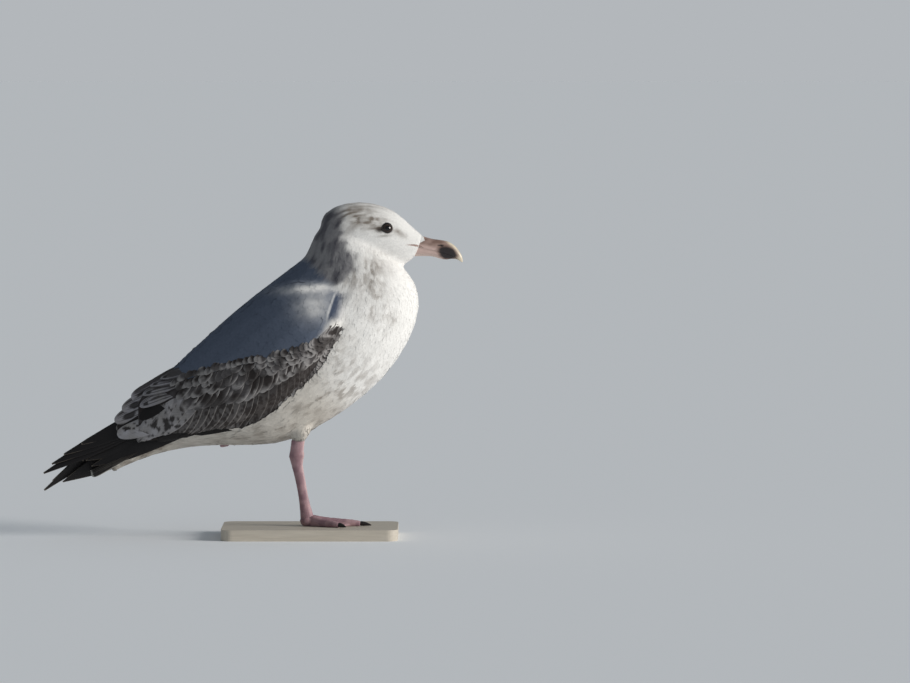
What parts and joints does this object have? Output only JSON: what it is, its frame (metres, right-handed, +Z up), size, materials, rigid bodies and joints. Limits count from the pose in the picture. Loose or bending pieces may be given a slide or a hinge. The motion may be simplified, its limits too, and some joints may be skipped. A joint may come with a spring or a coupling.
{
  "type": "gull figure",
  "caption": "Still, life-size young herring gull resting on one leg with folded wings, on a small plain base.",
  "frame": {"origin": "centre of the base's underside, 12 mm below the sole of the standing right foot", "axes": "+X the way the bird looks, +Y its left side, +Z up"},
  "size_m": [0.4535, 0.1408, 0.3625],
  "materials": {
    "white_plumage": "matte",
    "mottled_plumage": "matte",
    "grey_plumage": "matte",
    "dark_plumage": "matte",
    "leg_skin": "satin",
    "bill_horn": "satin",
    "claw_horn": "satin",
    "eye_glass": "polished",
    "base_wood": "matte"
  },
  "bodies": {
    "root": {"bill_upper": "bill_horn", "bill_lower": "bill_horn", "eye_right": "eye_glass", "eye_left": "eye_glass", "head": "white_plumage", "neck": "white_plumage", "trunk": "white_plumage", "tail": "mottled_plumage", "wing_right": "grey_plumage", "wing_left": "grey_plumage", "primaries_right": "dark_plumage", "primaries_left": "dark_plumage", "thigh_right": "leg_skin", "shank_right": "leg_skin", "foot_right": "leg_skin", "claw_right_inner": "claw_horn", "claw_right_middle": "claw_horn", "claw_right_outer": "claw_horn", "shank_left": "leg_skin", "foot_left": "leg_skin", "stand_base": "base_wood"}
  },
  "joints": []
}
